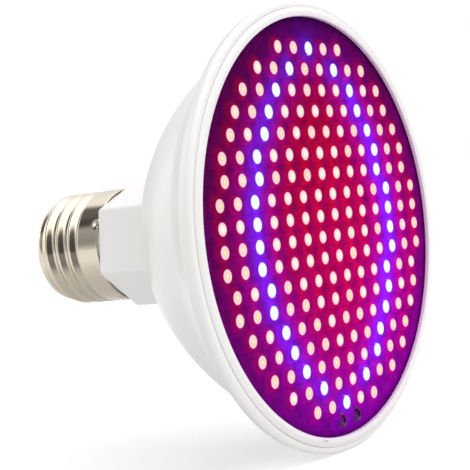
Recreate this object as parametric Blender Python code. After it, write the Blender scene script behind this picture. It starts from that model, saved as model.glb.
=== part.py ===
# LED grow light bulb with a white moulded bowl and an E27 screw cap.
# Every piece is drawn on an upright lamp axis, from the contact tip at height 0
# up to the light face, and one empty then lays that axis down, so that the
# light face looks along -Y and the screw cap points along +Y. Metres, +Z up.

import math

import bmesh
import bpy
from mathutils import Matrix, Vector

for old in list(bpy.data.objects):
    bpy.data.objects.remove(old, do_unlink=True)

# Fits: the gap between pieces that touch, and how far a cut or a joined shape reaches past a face
CLEARANCE = 0.0003
OVERLAP = 0.0005

# Screw cap, E27
CREST_RADIUS = 0.0131
THREAD_DEPTH = 0.00095
THREAD_PITCH = 0.00362
THREAD_TURNS = 3.6
THREAD_START = 0.0018
THREAD_RUNOUT = 0.0011
SHELL_WALL = 0.0004
SHELL_STEP_RISE = 0.0008
SKIRT_LENGTH = 0.0058
CONTACT_RADIUS = 0.0044
CONTACT_TIP_RADIUS = 0.0034
CONTACT_THICKNESS = 0.0013
CONTACT_STEM_RADIUS = 0.0022
CONTACT_STEM_LENGTH = 0.0030
INSULATOR_CONE = 0.0036
INSULATOR_PLUG = 0.0024
CAP_END_RADIUS = 0.0093
CAP_END_HEIGHT = 0.0029

# Moulded housing: spigot, hexagonal neck, bowl and flared rim
SPIGOT_LENGTH = 0.0150
SPIGOT_BORE_RADIUS = 0.0090
NECK_LENGTH = 0.0165
NECK_FLAT_RADIUS = 0.0126
NECK_CORNER_ROUND = 0.0010
NECK_TURN = math.radians(-7)
NECK_BORE_RADIUS = 0.0099
BOWL_BACK_RADIUS = 0.0150
BOWL_DEPTH = 0.0266
BOWL_ARC_RADIUS = 0.052
FLARE_WIDTH = 0.0071
FLARE_DEPTH = 0.0077
RIM_RADIUS = 0.0475
RIM_BAND = 0.0015
RIM_ROUND = 0.0010
RIM_CHAMFER = 0.0004
WALL = 0.0018

# Front ring
RING_WALL = 0.0006
RING_BEVEL = 0.0013
RIM_WALL = 0.00145
LIP_REACH = 0.00165
LIP_THICKNESS = 0.0009
LIP_FLAT = 0.0006
EDGE_CHAMFER = 0.0002
NOTCH_WIDTH = 0.0016
NOTCH_DEPTH = 0.0007
NOTCH_ANGLE = math.radians(-103)

# Light board
BOARD_THICKNESS = 0.0014
LEDGE_WIDTH = 0.0023
LED_MARGIN = 0.00475
LED_PITCH = 0.00584
ROW_PITCH = 0.0044
ROW_SHIFT = 0.00028
LED_LENGTH = 0.0035
LED_WIDTH = 0.0028
LED_HEIGHT = 0.0007
PAD_OFFSETS = (-0.0020, 0.0040)
PAD_MARGIN = 0.00325
PAD_LENGTH = 0.0026
PAD_WIDTH = 0.0015
PAD_HEIGHT = 0.0002
WIRE_HOLE_OFFSET = 0.0016

# Driver board; its margins keep the parts on it clear of its long edges and of its two ends
DRIVER_WIDTH = 0.0190
DRIVER_LENGTH = 0.0260
DRIVER_THICKNESS = 0.0010
DRIVER_SIDE_MARGIN = 0.0026
DRIVER_END_MARGIN = 0.0025
GUIDE_RIB_WIDTH = 0.0008
GUIDE_RIB_REACH = 0.0012

# Parts on the front of the driver board
SMOOTHING_RADIUS = 0.0035
SMOOTHING_LENGTH = 0.0110
FILM_WIDTH = 0.0042
FILM_HEIGHT = 0.0056
FILM_LENGTH = 0.0105
CHOKE_RADIUS = 0.0030
CHOKE_LENGTH = 0.0080
CHOKE_FLANGE = 0.0012
CHOKE_WINDING_RADIUS = 0.0024
VARISTOR_RADIUS = 0.0032
VARISTOR_THICKNESS = 0.0022
VARISTOR_RISE = 0.0026
PART_ROUND = 0.0004

# Chips on its back: width, height off the board and length, then the middle's place across
# the board and its distance from the board's foot
CHIP_ROUND = 0.0002
CHIPS = {
    "bridge_rectifier": ((0.0038, 0.0024, 0.0047), (0.0030, 0.0060)),
    "driver_chip": ((0.0039, 0.0015, 0.0049), (-0.0030, 0.0120)),
    "sense_resistor": ((0.0016, 0.0006, 0.0032), (0.0028, 0.0135)),
    "bleed_resistor": ((0.0016, 0.0006, 0.0032), (-0.0030, 0.0190)),
    "output_diode": ((0.0026, 0.0020, 0.0043), (0.0030, 0.0195)),
}

# Fusible resistor and wires
RESISTOR_RADIUS = 0.0014
RESISTOR_LENGTH = 0.0060
RESISTOR_LEAD = 0.0010
LEAD_RADIUS = 0.0003
WIRE_RADIUS = 0.0006
WIRE_SEAT = 0.0020
LED_WIRE_OFFSET = 0.0035
NEUTRAL_WIRE_OFFSET = 0.0060
NEUTRAL_WIRE_HOOK = 0.0016

# Facets
BOWL_SIDES = 60
CAP_SIDES = 36
THREAD_STEPS = 7
CAP_END_STEPS = 3
CONTACT_SIDES = 24
CAN_SIDES = 24
SMALL_SIDES = 16
LEAD_SIDES = 8

# Heights along the lamp axis, from the contact tip
INSULATOR_FOOT = CONTACT_THICKNESS + CLEARANCE
INSULATOR_SHOULDER = INSULATOR_FOOT + INSULATOR_CONE
SHELL_FOOT = INSULATOR_SHOULDER + CLEARANCE
THREAD_FOOT = SHELL_FOOT + CAP_END_HEIGHT
THREAD_HEAD = THREAD_FOOT + THREAD_TURNS * THREAD_PITCH
SHELL_STEP = THREAD_HEAD + SHELL_STEP_RISE
SHELL_HEAD = THREAD_HEAD + SKIRT_LENGTH
NECK_FOOT = SHELL_HEAD + CLEARANCE
SPIGOT_FOOT = NECK_FOOT - SPIGOT_LENGTH
BOWL_FOOT = NECK_FOOT + NECK_LENGTH
BOWL_MOUTH = BOWL_FOOT + BOWL_DEPTH
RIM_FOOT = BOWL_MOUTH + FLARE_DEPTH
RIM_HEAD = RIM_FOOT + RIM_BAND
FACE = RIM_HEAD + RING_BEVEL + CLEARANCE / 2
BOARD_FRONT = FACE - LIP_THICKNESS - CLEARANCE
BOARD_BACK = BOARD_FRONT - BOARD_THICKNESS
LEDGE = BOARD_BACK - CLEARANCE
DRIVER_SEAT = THREAD_HEAD
DRIVER_FOOT = DRIVER_SEAT + CLEARANCE
DRIVER_HEAD = DRIVER_FOOT + DRIVER_LENGTH
DRIVER_FACE = DRIVER_THICKNESS / 2 + CLEARANCE
RESISTOR_HEAD = DRIVER_FOOT - CLEARANCE

# Radii that follow from the fits
BOWL_MOUTH_RADIUS = RIM_RADIUS - FLARE_WIDTH
THREAD_ROOT_RADIUS = CREST_RADIUS - THREAD_DEPTH
SHELL_BORE_RADIUS = THREAD_ROOT_RADIUS - SHELL_WALL
SKIRT_BORE_RADIUS = CREST_RADIUS - SHELL_WALL
SPIGOT_RADIUS = SHELL_BORE_RADIUS - CLEARANCE
SPIGOT_SHOULDER_RADIUS = SKIRT_BORE_RADIUS - CLEARANCE
NECK_CORNER_RADIUS = NECK_FLAT_RADIUS / math.cos(math.pi / 6)
SEAT_RADIUS = RIM_RADIUS - RIM_WALL
RING_RADIUS = SEAT_RADIUS - CLEARANCE
RING_BORE_RADIUS = RING_RADIUS - RING_WALL
LIP_RADIUS = RING_RADIUS - LIP_REACH
BOARD_RADIUS = RING_BORE_RADIUS - CLEARANCE
LEDGE_RADIUS = BOARD_RADIUS - LEDGE_WIDTH
PAD_RADIUS = BOARD_RADIUS - PAD_MARGIN
LED_FIELD_RADIUS = LIP_RADIUS - LED_MARGIN

# The empty that lays the lamp axis down
lamp_axis = bpy.data.objects.new("lamp_axis", None)
bpy.context.collection.objects.link(lamp_axis)
lamp_axis.rotation_euler = (math.radians(90), 0, 0)


def material(name, colour, roughness, metallic=0.0):
    """A plain Principled material."""
    made = bpy.data.materials.new(name)
    made.use_nodes = True
    shader = made.node_tree.nodes["Principled BSDF"]
    shader.inputs["Base Color"].default_value = (*colour, 1)
    shader.inputs["Roughness"].default_value = roughness
    shader.inputs["Metallic"].default_value = metallic
    return made


def place(name, mesh_source, finish, smooth=True):
    """Turn a bmesh into a named object on the lamp axis."""
    bmesh.ops.recalc_face_normals(mesh_source, faces=mesh_source.faces)
    mesh = bpy.data.meshes.new(name)
    mesh_source.to_mesh(mesh)
    mesh_source.free()
    if smooth:
        mesh.shade_smooth()
        mesh.set_sharp_from_angle(angle=math.radians(30))
    piece = bpy.data.objects.new(name, mesh)
    bpy.context.collection.objects.link(piece)
    piece.parent = lamp_axis
    if finish:
        mesh.materials.append(finish)
    return piece


def cutter(name, mesh_source):
    """An object that only shapes another one."""
    tool = place(name, mesh_source, None, smooth=False)
    tool.hide_render = True
    tool.display_type = "WIRE"
    return tool


def combine(piece, tool, operation):
    """Join or cut a piece with another shape."""
    step = piece.modifiers.new(tool.name, "BOOLEAN")
    step.operation = operation
    step.solver = "EXACT"
    step.object = tool


def turned(outline, sides, closed):
    """Turn (radius, height) points about the lamp axis into a solid."""
    shape = bmesh.new()
    points = [shape.verts.new((radius, 0, height)) for radius, height in outline]
    pairs = list(zip(points, points[1:]))
    if closed:
        pairs.append((points[-1], points[0]))
    lines = [shape.edges.new(pair) for pair in pairs]
    bmesh.ops.spin(shape, geom=points + lines, axis=(0, 0, 1), cent=(0, 0, 0),
                   angle=math.tau, steps=sides, use_merge=True)
    bmesh.ops.remove_doubles(shape, verts=shape.verts, dist=1e-6)
    return shape


def arc(centre, radius, start, end, steps):
    """Points on an arc in the plane of an outline, angles in degrees."""
    points = []
    for step in range(steps + 1):
        angle = math.radians(start + (end - start) * step / steps)
        points.append((centre[0] + radius * math.cos(angle), centre[1] + radius * math.sin(angle)))
    return points


def block(size, centre, turn=0.0):
    """A box with its centre on the given point, turned about the lamp axis."""
    shape = bmesh.new()
    placed = Matrix.Rotation(turn, 4, "Z") @ Matrix.Translation(centre) @ Matrix.Diagonal((*size, 1))
    bmesh.ops.create_cube(shape, size=1, matrix=placed)
    return shape


def rod(radius, start, end, sides=SMALL_SIDES):
    """A round bar between two points."""
    start = Vector(start)
    end = Vector(end)
    along = end - start
    turn = along.to_track_quat("Z", "Y").to_matrix().to_4x4()
    shape = bmesh.new()
    bmesh.ops.create_cone(shape, cap_ends=True, segments=sides, radius1=radius, radius2=radius,
                          depth=along.length, matrix=Matrix.Translation((start + end) / 2) @ turn)
    return shape


def gathered(shapes):
    """Several bmeshes as one."""
    whole = bmesh.new()
    for shape in shapes:
        part = bpy.data.meshes.new("part")
        shape.to_mesh(part)
        shape.free()
        whole.from_mesh(part)
        bpy.data.meshes.remove(part)
    return whole


def soften(shape, width, segments=1, upright_only=False):
    """Bevel the edges of a shape, or only those along the lamp axis."""
    edges = []
    for edge in shape.edges:
        rise = edge.verts[1].co - edge.verts[0].co
        upright = abs(rise.z) > 0.99 * rise.length
        if upright or not upright_only:
            edges.append(edge)
    bmesh.ops.bevel(shape, geom=edges, offset=width, segments=segments, profile=0.5,
                    affect="EDGES", clamp_overlap=True)
    return shape


def wire(name, points, finish):
    """An insulated wire through a few points, with a smooth route between them."""
    curve = bpy.data.curves.new(name, "CURVE")
    curve.dimensions = "3D"
    curve.bevel_depth = WIRE_RADIUS
    curve.bevel_resolution = 2
    curve.use_fill_caps = True
    route = smooth_route([Vector(point) for point in points], steps=4)
    line = curve.splines.new("POLY")
    line.points.add(len(route) - 1)
    for spot, point in zip(line.points, route):
        spot.co = (*point, 1)
    curve.materials.append(finish)
    piece = bpy.data.objects.new(name, curve)
    bpy.context.collection.objects.link(piece)
    piece.parent = lamp_axis
    return piece


def smooth_route(points, steps):
    """Points on a Catmull-Rom curve through the given ones."""
    ends = [points[0] * 2 - points[1]] + points + [points[-1] * 2 - points[-2]]
    route = []
    for before, start, end, after in zip(ends, ends[1:], ends[2:], ends[3:]):
        for step in range(steps):
            t = step / steps
            route.append(0.5 * (2 * start + (end - before) * t
                                + (2 * before - 5 * start + 4 * end - after) * t * t
                                + (3 * start - before - 3 * end + after) * t ** 3))
    route.append(points[-1])
    return route


white_plastic = material("white_plastic", (0.86, 0.86, 0.84), 0.32)
nickel = material("nickel", (0.72, 0.70, 0.66), 0.16, 1.0)
black_insulator = material("black_insulator", (0.02, 0.02, 0.02), 0.35)
board_white = material("board_white", (0.80, 0.78, 0.80), 0.45)
board_green = material("board_green", (0.05, 0.22, 0.10), 0.5)
black_part = material("black_part", (0.03, 0.03, 0.03), 0.45)
film_yellow = material("film_yellow", (0.75, 0.55, 0.08), 0.4)
capacitor_sleeve = material("capacitor_sleeve", (0.04, 0.05, 0.16), 0.35)
resistor_blue = material("resistor_blue", (0.10, 0.35, 0.60), 0.4)
red_insulation = material("red_insulation", (0.62, 0.03, 0.03), 0.4)
black_insulation = material("black_insulation", (0.03, 0.03, 0.03), 0.4)


# Housing: spigot, hexagonal neck, bowl and flared rim, moulded in one piece
def bowl_arc(offset, steps):
    """The bowl's wall after its back, up to its mouth, moved inward by offset."""
    back = Vector((BOWL_BACK_RADIUS, BOWL_FOOT))
    mouth = Vector((BOWL_MOUTH_RADIUS, BOWL_MOUTH))
    half = (mouth - back) / 2
    rise = math.sqrt(BOWL_ARC_RADIUS ** 2 - half.length_squared)
    centre = back + half + Vector((-half.y, half.x)).normalized() * rise
    first = math.degrees(math.atan2(*(back - centre).yx))
    last = math.degrees(math.atan2(*(mouth - centre).yx))
    return arc(centre, BOWL_ARC_RADIUS - offset, first, last, steps)[1:]


def housing_outside():
    """Half section of the housing's outside, from the spigot to the seat of the ring."""
    outline = [(0, SPIGOT_FOOT), (SPIGOT_RADIUS, SPIGOT_FOOT)]
    outline += [(SPIGOT_RADIUS, SHELL_STEP), (SPIGOT_SHOULDER_RADIUS, SHELL_STEP + 2 * CLEARANCE)]
    outline += [(SPIGOT_SHOULDER_RADIUS, BOWL_FOOT - OVERLAP), (BOWL_BACK_RADIUS, BOWL_FOOT)]
    outline += bowl_arc(0, 9)
    outline += [(RIM_RADIUS - RIM_CHAMFER, RIM_FOOT - RIM_CHAMFER), (RIM_RADIUS, RIM_FOOT + RIM_CHAMFER)]
    outline += arc((RIM_RADIUS - RIM_ROUND, RIM_HEAD - RIM_ROUND), RIM_ROUND, 0, 90, 4)
    outline += [(0, RIM_HEAD)]
    return outline


def housing_inside():
    """Half section of the housing's hollow, open at the spigot and at the face."""
    outline = [(0, SPIGOT_FOOT - OVERLAP), (SPIGOT_BORE_RADIUS, SPIGOT_FOOT - OVERLAP)]
    outline += [(SPIGOT_BORE_RADIUS, DRIVER_SEAT), (NECK_BORE_RADIUS, DRIVER_SEAT)]
    outline += [(NECK_BORE_RADIUS, BOWL_FOOT + WALL)]
    outline += bowl_arc(WALL, 6)
    outline += [(LEDGE_RADIUS, LEDGE - WALL), (LEDGE_RADIUS, LEDGE)]
    outline += [(SEAT_RADIUS, LEDGE), (SEAT_RADIUS, RIM_HEAD + OVERLAP), (0, RIM_HEAD + OVERLAP)]
    return outline


def neck_prism():
    """The hexagonal neck with rounded corners, turned a little against the light board's rows."""
    shape = bmesh.new()
    head = BOWL_FOOT + 2 * WALL
    middle = Matrix.Translation((0, 0, (NECK_FOOT + head) / 2)) @ Matrix.Rotation(NECK_TURN, 4, "Z")
    bmesh.ops.create_cone(shape, cap_ends=True, segments=6, radius1=NECK_CORNER_RADIUS,
                          radius2=NECK_CORNER_RADIUS, depth=head - NECK_FOOT, matrix=middle)
    return soften(shape, NECK_CORNER_ROUND, segments=3, upright_only=True)


def guide_ribs():
    """Four ribs in the neck's bore that hold the driver board by its long edges."""
    ribs = []
    offset = DRIVER_THICKNESS / 2 + CLEARANCE + GUIDE_RIB_WIDTH / 2
    length = BOWL_FOOT - DRIVER_SEAT
    for side in (1, -1):
        for face in (1, -1):
            centre = (side * (NECK_BORE_RADIUS + OVERLAP - GUIDE_RIB_REACH / 2), face * offset,
                      DRIVER_SEAT + length / 2 - OVERLAP)
            ribs.append(block((GUIDE_RIB_REACH + OVERLAP, GUIDE_RIB_WIDTH, length), centre))
    return gathered(ribs)


housing = place("housing", turned(housing_outside(), BOWL_SIDES, closed=False), white_plastic)
combine(housing, cutter("neck_shape", neck_prism()), "UNION")
combine(housing, cutter("hollow_shape", turned(housing_inside(), BOWL_SIDES, closed=False)), "DIFFERENCE")
combine(housing, cutter("rib_shapes", guide_ribs()), "UNION")


# Front ring: bevelled ring that closes over the edge of the light board
def ring_section():
    """Closed section of the ring: bevelled front, lip over the board, thin skirt beside it."""
    section = [(RING_RADIUS, FACE - RING_BEVEL), (RING_RADIUS, BOARD_BACK), (RING_BORE_RADIUS, BOARD_BACK)]
    section += [(RING_BORE_RADIUS, FACE - LIP_THICKNESS), (LIP_RADIUS, FACE - LIP_THICKNESS)]
    section += [(LIP_RADIUS, FACE - EDGE_CHAMFER), (LIP_RADIUS + EDGE_CHAMFER, FACE)]
    section += [(LIP_RADIUS + EDGE_CHAMFER + LIP_FLAT, FACE)]
    section += [(RING_RADIUS - EDGE_CHAMFER, FACE - RING_BEVEL + EDGE_CHAMFER)]
    return section


front_ring = place("front_ring", turned(ring_section(), BOWL_SIDES, closed=True), white_plastic)
notch_block = block((NOTCH_DEPTH * 2, NOTCH_WIDTH, LIP_THICKNESS / 2), (LIP_RADIUS, 0, FACE), NOTCH_ANGLE)
combine(front_ring, cutter("notch_shape", notch_block), "DIFFERENCE")


# Light board with its 200 surface-mounted LED packages and two solder pads
def led_centres():
    """Centre of every LED: an even number of rows, each as long as the round field allows."""
    centres = []
    row_count = 2 * int(LED_FIELD_RADIUS / ROW_PITCH + 0.5)
    for row in range(row_count):
        y = ((row_count - 1) / 2 - row) * ROW_PITCH
        chord = 2 * math.sqrt(LED_FIELD_RADIUS ** 2 - y ** 2)
        count = 1 + int(chord / LED_PITCH)
        shift = ROW_SHIFT if count % 2 == 0 else -ROW_SHIFT
        for place_in_row in range(count):
            centres.append(((place_in_row - (count - 1) / 2) * LED_PITCH + shift, y))
    return centres


def pad_centre(offset):
    """Centre of a solder pad at the board's lower edge, at a distance from its middle line."""
    return (offset, -math.sqrt(PAD_RADIUS ** 2 - offset ** 2))


def wire_hole(offset):
    """Where a lead from the driver comes up through the board, beside its pad."""
    x, y = pad_centre(offset)
    return (x, y + WIRE_HOLE_OFFSET)


def led_packages():
    """The LED packages and pads as blocks that reach a little into the board."""
    blocks = []
    for x, y in led_centres():
        middle = BOARD_FRONT + (LED_HEIGHT - OVERLAP) / 2
        blocks.append(block((LED_LENGTH, LED_WIDTH, LED_HEIGHT + OVERLAP), (x, y, middle)))
    for offset in PAD_OFFSETS:
        middle = BOARD_FRONT + (PAD_HEIGHT - OVERLAP) / 2
        blocks.append(block((PAD_LENGTH, PAD_WIDTH, PAD_HEIGHT + OVERLAP), (*pad_centre(offset), middle)))
    return gathered(blocks)


disc = [(0, BOARD_BACK), (BOARD_RADIUS, BOARD_BACK), (BOARD_RADIUS, BOARD_FRONT), (0, BOARD_FRONT)]
led_board = place("led_board", turned(disc, BOWL_SIDES, closed=False), board_white)
combine(led_board, cutter("led_shapes", led_packages()), "UNION")
hole_rods = []
for offset in PAD_OFFSETS:
    x, y = wire_hole(offset)
    hole_foot = (x, y, BOARD_BACK - OVERLAP)
    hole_head = (x, y, BOARD_FRONT + OVERLAP)
    hole_rods.append(rod(WIRE_RADIUS + CLEARANCE, hole_foot, hole_head))
combine(led_board, cutter("hole_shapes", gathered(hole_rods)), "DIFFERENCE")


# Screw shell: rolled E27 thread, plain skirt and a turned-in end
def thread_radius(angle, height):
    """Outer radius of the shell: a round right-hand thread that runs out into the skirt."""
    turn = (THREAD_HEAD - height) / THREAD_PITCH + angle / math.tau
    wave = (1 - math.cos(math.tau * turn)) / 2
    runout = min(max((height - THREAD_HEAD) / THREAD_RUNOUT + 1, 0), 1)
    start = min(max((height - THREAD_FOOT) / THREAD_START, 0), 1)
    wave = wave + (1 - wave) * runout * runout * (3 - 2 * runout)
    return THREAD_ROOT_RADIUS + THREAD_DEPTH * wave * start


def screw_shell_mesh():
    """A grid of rings: up the threaded outside, then down the plain inside."""
    inner_end = CAP_END_RADIUS - SHELL_WALL
    rows = []
    for step in range(CAP_END_STEPS):
        share = step / CAP_END_STEPS
        radius = CAP_END_RADIUS + (THREAD_ROOT_RADIUS - CAP_END_RADIUS) * math.sin(share * math.pi / 2)
        rows.append([(radius, SHELL_FOOT + CAP_END_HEIGHT * share)] * CAP_SIDES)
    step_count = math.ceil((THREAD_HEAD - THREAD_FOOT) / THREAD_PITCH * THREAD_STEPS)
    for step in range(step_count + 1):
        height = THREAD_FOOT + (THREAD_HEAD - THREAD_FOOT) * step / step_count
        angles = [math.tau * side / CAP_SIDES for side in range(CAP_SIDES)]
        rows.append([(thread_radius(angle, height), height) for angle in angles])
    rows.append([(CREST_RADIUS, SHELL_HEAD)] * CAP_SIDES)
    rows.append([(SKIRT_BORE_RADIUS, SHELL_HEAD)] * CAP_SIDES)
    rows.append([(SKIRT_BORE_RADIUS, SHELL_STEP)] * CAP_SIDES)
    rows.append([(SHELL_BORE_RADIUS, THREAD_HEAD + SHELL_WALL)] * CAP_SIDES)
    rows.append([(SHELL_BORE_RADIUS, THREAD_FOOT)] * CAP_SIDES)
    rows.append([(inner_end, SHELL_FOOT + SHELL_WALL)] * CAP_SIDES)
    shape = bmesh.new()
    rings = []
    for row in rows:
        ring = []
        for side, (radius, height) in enumerate(row):
            angle = math.tau * side / CAP_SIDES
            ring.append(shape.verts.new((radius * math.cos(angle), radius * math.sin(angle), height)))
        rings.append(ring)
    for lower, upper in zip(rings, rings[1:] + rings[:1]):
        for side in range(CAP_SIDES):
            after = (side + 1) % CAP_SIDES
            shape.faces.new((lower[side], lower[after], upper[after], upper[side]))
    return shape


place("screw_shell", screw_shell_mesh(), nickel)


# Cap insulator: black cone under the shell, with a plug that fills the shell's end
plug_radius = CAP_END_RADIUS - SHELL_WALL - CLEARANCE
stem_hole = CONTACT_STEM_RADIUS + CLEARANCE
insulator_section = [
    (plug_radius + CLEARANCE, INSULATOR_SHOULDER),
    (CONTACT_RADIUS + CLEARANCE, INSULATOR_FOOT),
    (stem_hole, INSULATOR_FOOT),
    (stem_hole, INSULATOR_FOOT + CONTACT_STEM_LENGTH),
    (WIRE_RADIUS + CLEARANCE, INSULATOR_FOOT + CONTACT_STEM_LENGTH),
    (WIRE_RADIUS + CLEARANCE, INSULATOR_SHOULDER + INSULATOR_PLUG),
    (plug_radius, INSULATOR_SHOULDER + INSULATOR_PLUG),
    (plug_radius, INSULATOR_SHOULDER),
]
place("cap_insulator", turned(insulator_section, CAP_SIDES, closed=True), black_insulator)

# Centre contact: pressed button with a hollow stem that takes the live lead
contact_section = [
    (0, 0),
    (CONTACT_TIP_RADIUS, 0),
    (CONTACT_RADIUS, CONTACT_THICKNESS / 2),
    (CONTACT_RADIUS, CONTACT_THICKNESS),
    (CONTACT_STEM_RADIUS, CONTACT_THICKNESS),
    (CONTACT_STEM_RADIUS, CONTACT_THICKNESS + CONTACT_STEM_LENGTH),
    (WIRE_RADIUS + CLEARANCE, CONTACT_THICKNESS + CONTACT_STEM_LENGTH),
    (WIRE_RADIUS + CLEARANCE, CONTACT_THICKNESS),
    (0, CONTACT_THICKNESS),
]
place("centre_contact", turned(contact_section, CONTACT_SIDES, closed=False), nickel)


# Driver board, standing on edge in the neck between its guide ribs
driver_middle = (DRIVER_FOOT + DRIVER_HEAD) / 2
driver_size = (DRIVER_WIDTH, DRIVER_THICKNESS, DRIVER_LENGTH)
place("driver_board", block(driver_size, (0, 0, driver_middle)), board_green, smooth=False)

# Smoothing capacitor: sleeved can lying along the board's head
can_x = -(DRIVER_WIDTH / 2 - DRIVER_SIDE_MARGIN - SMOOTHING_RADIUS)
can_y = DRIVER_FACE + SMOOTHING_RADIUS
can_head = DRIVER_HEAD - DRIVER_END_MARGIN
can_foot = can_head - SMOOTHING_LENGTH
can = rod(SMOOTHING_RADIUS, (can_x, can_y, can_foot), (can_x, can_y, can_head), CAN_SIDES)
place("smoothing_capacitor", soften(can, PART_ROUND), capacitor_sleeve)

# Film capacitor: moulded block beside the can
film_x = DRIVER_WIDTH / 2 - DRIVER_SIDE_MARGIN - FILM_WIDTH / 2
film_centre = (film_x, DRIVER_FACE + FILM_HEIGHT / 2, can_head - FILM_LENGTH / 2)
film = block((FILM_WIDTH, FILM_HEIGHT, FILM_LENGTH), film_centre)
place("film_capacitor", soften(film, PART_ROUND), film_yellow, smooth=False)


# Choke: wound drum between two flanges, near the board's foot
def choke_rod(radius, low, high):
    """A stretch of the choke, between two distances from its foot."""
    x = DRIVER_WIDTH / 2 - DRIVER_SIDE_MARGIN - CHOKE_RADIUS
    y = DRIVER_FACE + CHOKE_RADIUS
    foot = DRIVER_FOOT + DRIVER_END_MARGIN
    return rod(radius, (x, y, foot + low), (x, y, foot + high))


choke = place("choke", choke_rod(CHOKE_RADIUS, 0, CHOKE_FLANGE), black_part)
winding = choke_rod(CHOKE_WINDING_RADIUS, CHOKE_FLANGE - OVERLAP, CHOKE_LENGTH - CHOKE_FLANGE + OVERLAP)
upper_flange = choke_rod(CHOKE_RADIUS, CHOKE_LENGTH - CHOKE_FLANGE, CHOKE_LENGTH)
combine(choke, cutter("choke_winding_shape", winding), "UNION")
combine(choke, cutter("choke_flange_shape", upper_flange), "UNION")

# Varistor: coated disc standing on the board beside the choke
varistor_x = -(DRIVER_WIDTH / 2 - DRIVER_SIDE_MARGIN - VARISTOR_RADIUS)
varistor_y = DRIVER_FACE + VARISTOR_RADIUS
varistor_foot = (varistor_x, varistor_y, DRIVER_FOOT + DRIVER_END_MARGIN + VARISTOR_RISE)
varistor_head = (varistor_x, varistor_y, varistor_foot[2] + VARISTOR_THICKNESS)
varistor = rod(VARISTOR_RADIUS, varistor_foot, varistor_head)
place("varistor", soften(varistor, PART_ROUND), resistor_blue)

# Chips and small resistors soldered flat on the back of the board
for chip_name, (chip_size, (across, rise)) in CHIPS.items():
    chip = block(chip_size, (across, -(DRIVER_FACE + chip_size[1] / 2), DRIVER_FOOT + rise))
    place(chip_name, soften(chip, CHIP_ROUND), black_part, smooth=False)

# Fusible resistor on the live lead, in the hollow of the spigot
resistor_top = RESISTOR_HEAD - RESISTOR_LEAD
resistor_foot = resistor_top - RESISTOR_LENGTH
lead_foot = resistor_foot - RESISTOR_LEAD
resistor = rod(RESISTOR_RADIUS, (0, 0, resistor_foot), (0, 0, resistor_top))
fusible_resistor = place("fusible_resistor", soften(resistor, PART_ROUND), resistor_blue)
resistor_leads = rod(LEAD_RADIUS, (0, 0, lead_foot), (0, 0, RESISTOR_HEAD), LEAD_SIDES)
combine(fusible_resistor, cutter("resistor_lead_shape", resistor_leads), "UNION")

# Live wire from the contact's stem to the fusible resistor
live_foot = CONTACT_THICKNESS + CLEARANCE
live_head = lead_foot - CLEARANCE
wire("live_wire", [(0, 0, live_foot), (0, 0, live_head)], red_insulation)

# Neutral wire from the driver board round the spigot's end to the shell's wall
neutral_y = DRIVER_FACE + WIRE_RADIUS
neutral_inside = SPIGOT_BORE_RADIUS - CLEARANCE - 2 * WIRE_RADIUS
neutral_points = [
    (NEUTRAL_WIRE_OFFSET, neutral_y, DRIVER_FOOT + WIRE_SEAT),
    (NEUTRAL_WIRE_OFFSET, neutral_y, DRIVER_FOOT - 2 * WIRE_RADIUS),
    (neutral_inside, neutral_y, SPIGOT_FOOT + 2 * NEUTRAL_WIRE_HOOK),
    (neutral_inside, neutral_y, SPIGOT_FOOT - WIRE_RADIUS),
    (SHELL_BORE_RADIUS - CLEARANCE - WIRE_RADIUS, neutral_y, SPIGOT_FOOT - NEUTRAL_WIRE_HOOK),
]
wire("neutral_wire", neutral_points, black_insulation)


# Leads from the driver board through the bowl to the pads of the light board
def led_lead(name, start_x, pad_offset, finish):
    """One lead: up off the driver board, out through the bowl's mouth and through the light board."""
    x, y = wire_hole(pad_offset)
    start_y = -(DRIVER_FACE + WIRE_RADIUS)
    mouth_y = -(BOWL_MOUTH_RADIUS - WALL - 2 * WIRE_SEAT)
    points = [
        (start_x, start_y, DRIVER_HEAD - WIRE_SEAT),
        (start_x, start_y, DRIVER_HEAD + WIRE_SEAT),
        (start_x, start_y - 3 * WIRE_SEAT, DRIVER_HEAD + 5 * WIRE_SEAT),
        (x, (start_y + 2 * mouth_y) / 3, BOWL_MOUTH - 2 * WIRE_SEAT),
        (x, mouth_y, BOWL_MOUTH),
        (x, y, BOARD_BACK - WIRE_SEAT),
        (x, y, BOARD_FRONT + PAD_HEIGHT),
    ]
    wire(name, points, finish)


led_lead("led_wire_positive", -LED_WIRE_OFFSET, PAD_OFFSETS[0], red_insulation)
led_lead("led_wire_negative", LED_WIRE_OFFSET, PAD_OFFSETS[1], black_insulation)
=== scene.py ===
# LED grow light, dressed for its picture: nickel screw cap, white moulded housing
# and front ring, and a lit board of red and blue LED packages. Metres, +Z up, with
# the lamp's axis along Y: the cap's tip at the origin and the light face to -Y.

import math
import random

import bmesh
import bpy
from mathutils import Matrix, Vector


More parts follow.
